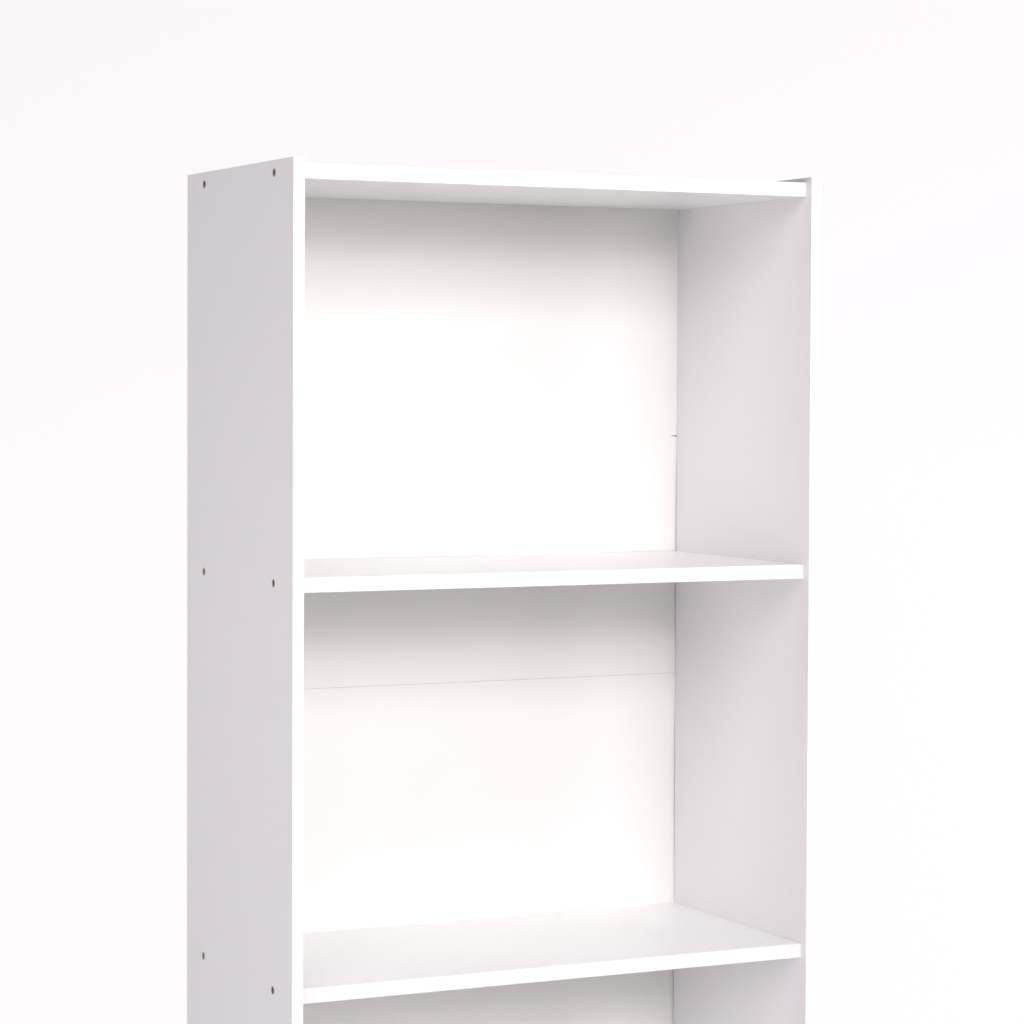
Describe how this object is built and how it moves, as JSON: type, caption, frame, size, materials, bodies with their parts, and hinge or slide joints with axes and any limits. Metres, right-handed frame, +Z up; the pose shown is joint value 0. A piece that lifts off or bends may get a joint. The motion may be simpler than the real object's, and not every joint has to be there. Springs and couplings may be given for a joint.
{
  "type": "bookcase",
  "caption": "Tall open white bookcase: flat side panels carry a top, fixed shelves and a bottom over a plinth, with a back of stacked thin boards.",
  "frame": {"origin": "on the floor, under the middle of the bookcase", "axes": "+X to the right as seen from the front, +Y from the open front to the back, +Z up"},
  "size_m": [0.6, 0.3, 1.7],
  "materials": {
    "side_board": "white melamine-faced chipboard with a fine matt wood pore, raw chipboard on the rear and lower edges",
    "shelf_board": "white melamine-faced chipboard, satin",
    "edge_band": "white plastic edge band, smooth satin",
    "back_hardboard": "thin hardboard, white painted front and plain brown rear",
    "screw_zinc": "yellow zinc plated steel, dull",
    "nail_steel": "bright steel",
    "dowel_wood": "plain fluted beech",
    "glide_plastic": "off-white moulded plastic"
  },
  "bodies": {
    "root": {"back_board_1": "back_hardboard", "back_board_2": "back_hardboard", "back_board_3": "back_hardboard", "back_board_4": "back_hardboard", "back_board_5": "back_hardboard", "back_board_6": "back_hardboard", "back_nails": "nail_steel", "bottom_panel": "shelf_board", "bottom_panel_edge_band": "edge_band", "bottom_panel_screws": "screw_zinc", "floor_glides": "glide_plastic", "glide_pins": "nail_steel", "left_side_edge_bands": "edge_band", "left_side_panel": "side_board", "lower_shelf": "shelf_board", "lower_shelf_edge_band": "edge_band", "lower_shelf_screws": "screw_zinc", "middle_shelf": "shelf_board", "middle_shelf_edge_band": "edge_band", "middle_shelf_screws": "screw_zinc", "plinth_board": "shelf_board", "plinth_dowels": "dowel_wood", "plinth_screws": "screw_zinc", "right_side_edge_bands": "edge_band", "right_side_panel": "side_board", "top_panel": "shelf_board", "top_panel_edge_band": "edge_band", "top_panel_screws": "screw_zinc", "upper_shelf": "shelf_board", "upper_shelf_edge_band": "edge_band", "upper_shelf_screws": "screw_zinc"}
  },
  "joints": []
}
